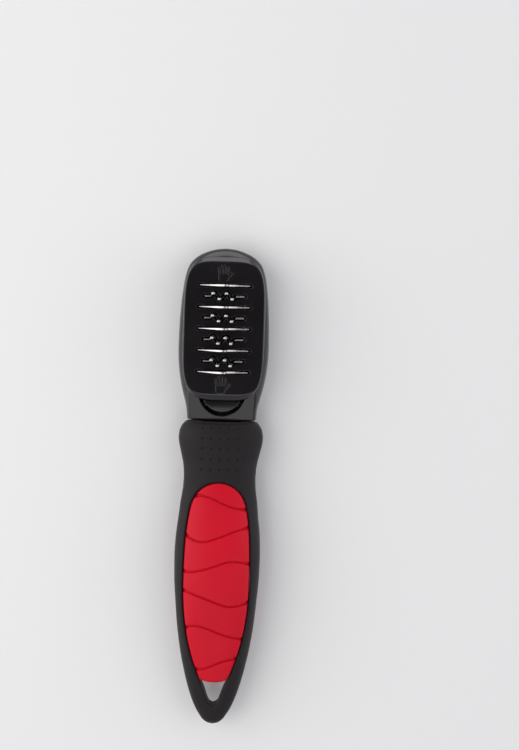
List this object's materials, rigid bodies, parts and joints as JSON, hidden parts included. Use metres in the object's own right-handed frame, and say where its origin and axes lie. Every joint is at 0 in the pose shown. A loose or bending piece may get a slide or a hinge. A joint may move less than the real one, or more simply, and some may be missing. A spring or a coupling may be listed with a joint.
{
  "type": "dematting comb",
  "caption": "Hand tool for cutting mats out of fur: hooked and toothed steel blades in a reversible clip-in cassette with a push release, on a soft-grip handle with a hanging hole.",
  "frame": {"origin": "centre of the flat on the back of the head, directly under the middle of the blade cassette", "axes": "+Y from the handle's hanging end to the top of the head; +Z from the back to the blade tips; +X to the right when the blades face the viewer and the head is up"},
  "size_m": [0.0338, 0.1777, 0.034],
  "materials": {
    "gloss_black": "gloss black moulding",
    "rubber_black": "fine matte moulded rubber",
    "rubber_red": "satin red moulded rubber",
    "blade_steel": "ground and polished stainless",
    "spring_steel": "drawn stainless",
    "screw_zinc": "bright zinc plate"
  },
  "bodies": {
    "handle": {"head_frame": "gloss_black", "back_cover": "gloss_black", "cover_screw_top": "screw_zinc", "cover_screw_left": "screw_zinc", "cover_screw_right": "screw_zinc", "grip_sleeve": "rubber_black", "front_grip_pad": "rubber_red", "rear_grip_pad": "rubber_red", "latch_spring": "spring_steel"},
    "button": {"release_button": "gloss_black"},
    "cassette": {"cassette_face": "gloss_black", "cassette_back": "gloss_black", "hooked_blade_1": "blade_steel", "hooked_blade_2": "blade_steel", "hooked_blade_3": "blade_steel", "hooked_blade_4": "blade_steel", "hooked_blade_5": "blade_steel", "toothed_blade_1": "blade_steel", "toothed_blade_2": "blade_steel", "toothed_blade_3": "blade_steel", "toothed_blade_4": "blade_steel", "blade_rod_left": "spring_steel", "blade_rod_right": "spring_steel", "cassette_screw_upper_left": "screw_zinc", "cassette_screw_upper_right": "screw_zinc", "cassette_screw_lower_left": "screw_zinc", "cassette_screw_lower_right": "screw_zinc"}
  },
  "joints": [
    {"name": "button_press", "type": "slide", "parent": "handle", "child": "button", "axis": [0, 0, -1], "range_m": [0, 0.002], "stiffness_N_per_m": 60, "deforming": ["latch_spring"]},
    {"name": "cassette_swing", "type": "hinge", "parent": "handle", "child": "cassette", "pos_m": [0, 0.0254, 0.0094], "axis": [-1, 0, 0], "range_deg": [0, 30], "deforming": ["latch_spring"]}
  ]
}
